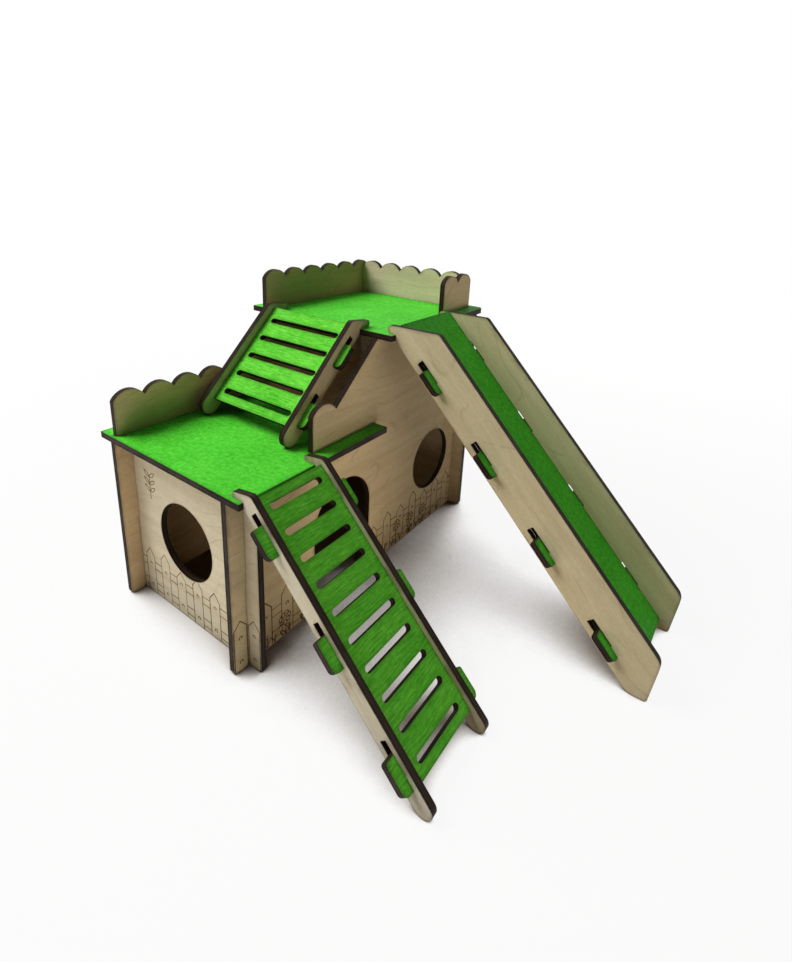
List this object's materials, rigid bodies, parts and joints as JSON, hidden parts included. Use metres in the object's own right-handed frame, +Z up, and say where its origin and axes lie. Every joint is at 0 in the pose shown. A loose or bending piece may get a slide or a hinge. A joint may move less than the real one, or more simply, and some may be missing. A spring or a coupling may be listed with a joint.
{
  "type": "hamster castle",
  "caption": "Two-storey plywood pet house with scalloped parapets, loose green roofs, a slotted ladder, a slotted ramp and a slide.",
  "frame": {"origin": "on the ground under the middle of the whole footprint, ramp and slide included", "axes": "+X along the front wall towards the tower, +Y from the front to the back, +Z up"},
  "size_m": [0.1958, 0.2414, 0.1575],
  "materials": {
    "birch_ply": "bare birch plywood with laser-burnt edges",
    "green_ply": "green water-based stain with the grain showing"
  },
  "bodies": {
    "walls": {"front_wall": "birch_ply", "back_wall": "birch_ply", "left_end_wall": "birch_ply", "right_end_wall": "birch_ply"},
    "room_roof": {"room_roof": "green_ply"},
    "tower_roof": {"tower_roof": "green_ply"},
    "ladder": {"ladder_panel": "green_ply", "ladder_front_stringer": "birch_ply", "ladder_back_stringer": "birch_ply"},
    "ramp": {"ramp_panel": "green_ply", "ramp_left_stringer": "birch_ply", "ramp_right_stringer": "birch_ply"},
    "slide": {"slide_floor": "green_ply", "slide_left_side": "birch_ply", "slide_right_side": "birch_ply"}
  },
  "joints": [
    {"name": "room_roof_lift", "type": "slide", "parent": "walls", "child": "room_roof", "axis": [0, 0, 1], "range_m": [0, 0.03]},
    {"name": "tower_roof_lift", "type": "slide", "parent": "walls", "child": "tower_roof", "axis": [0, 0, 1], "range_m": [0, 0.03]},
    {"name": "ladder_lift", "type": "slide", "parent": "room_roof", "child": "ladder", "axis": [0, 0, 1], "range_m": [0, 0.03]},
    {"name": "ramp_unhook", "type": "slide", "parent": "room_roof", "child": "ramp", "axis": [0, -0.7071, 0.7071], "range_m": [0, 0.03]},
    {"name": "slide_unhook", "type": "slide", "parent": "tower_roof", "child": "slide", "axis": [0, -0.7071, 0.7071], "range_m": [0, 0.03]}
  ],
  "couplings": [
    {"joint": "ladder_lift", "follows": "tower_roof_lift", "ratio": 1}
  ]
}
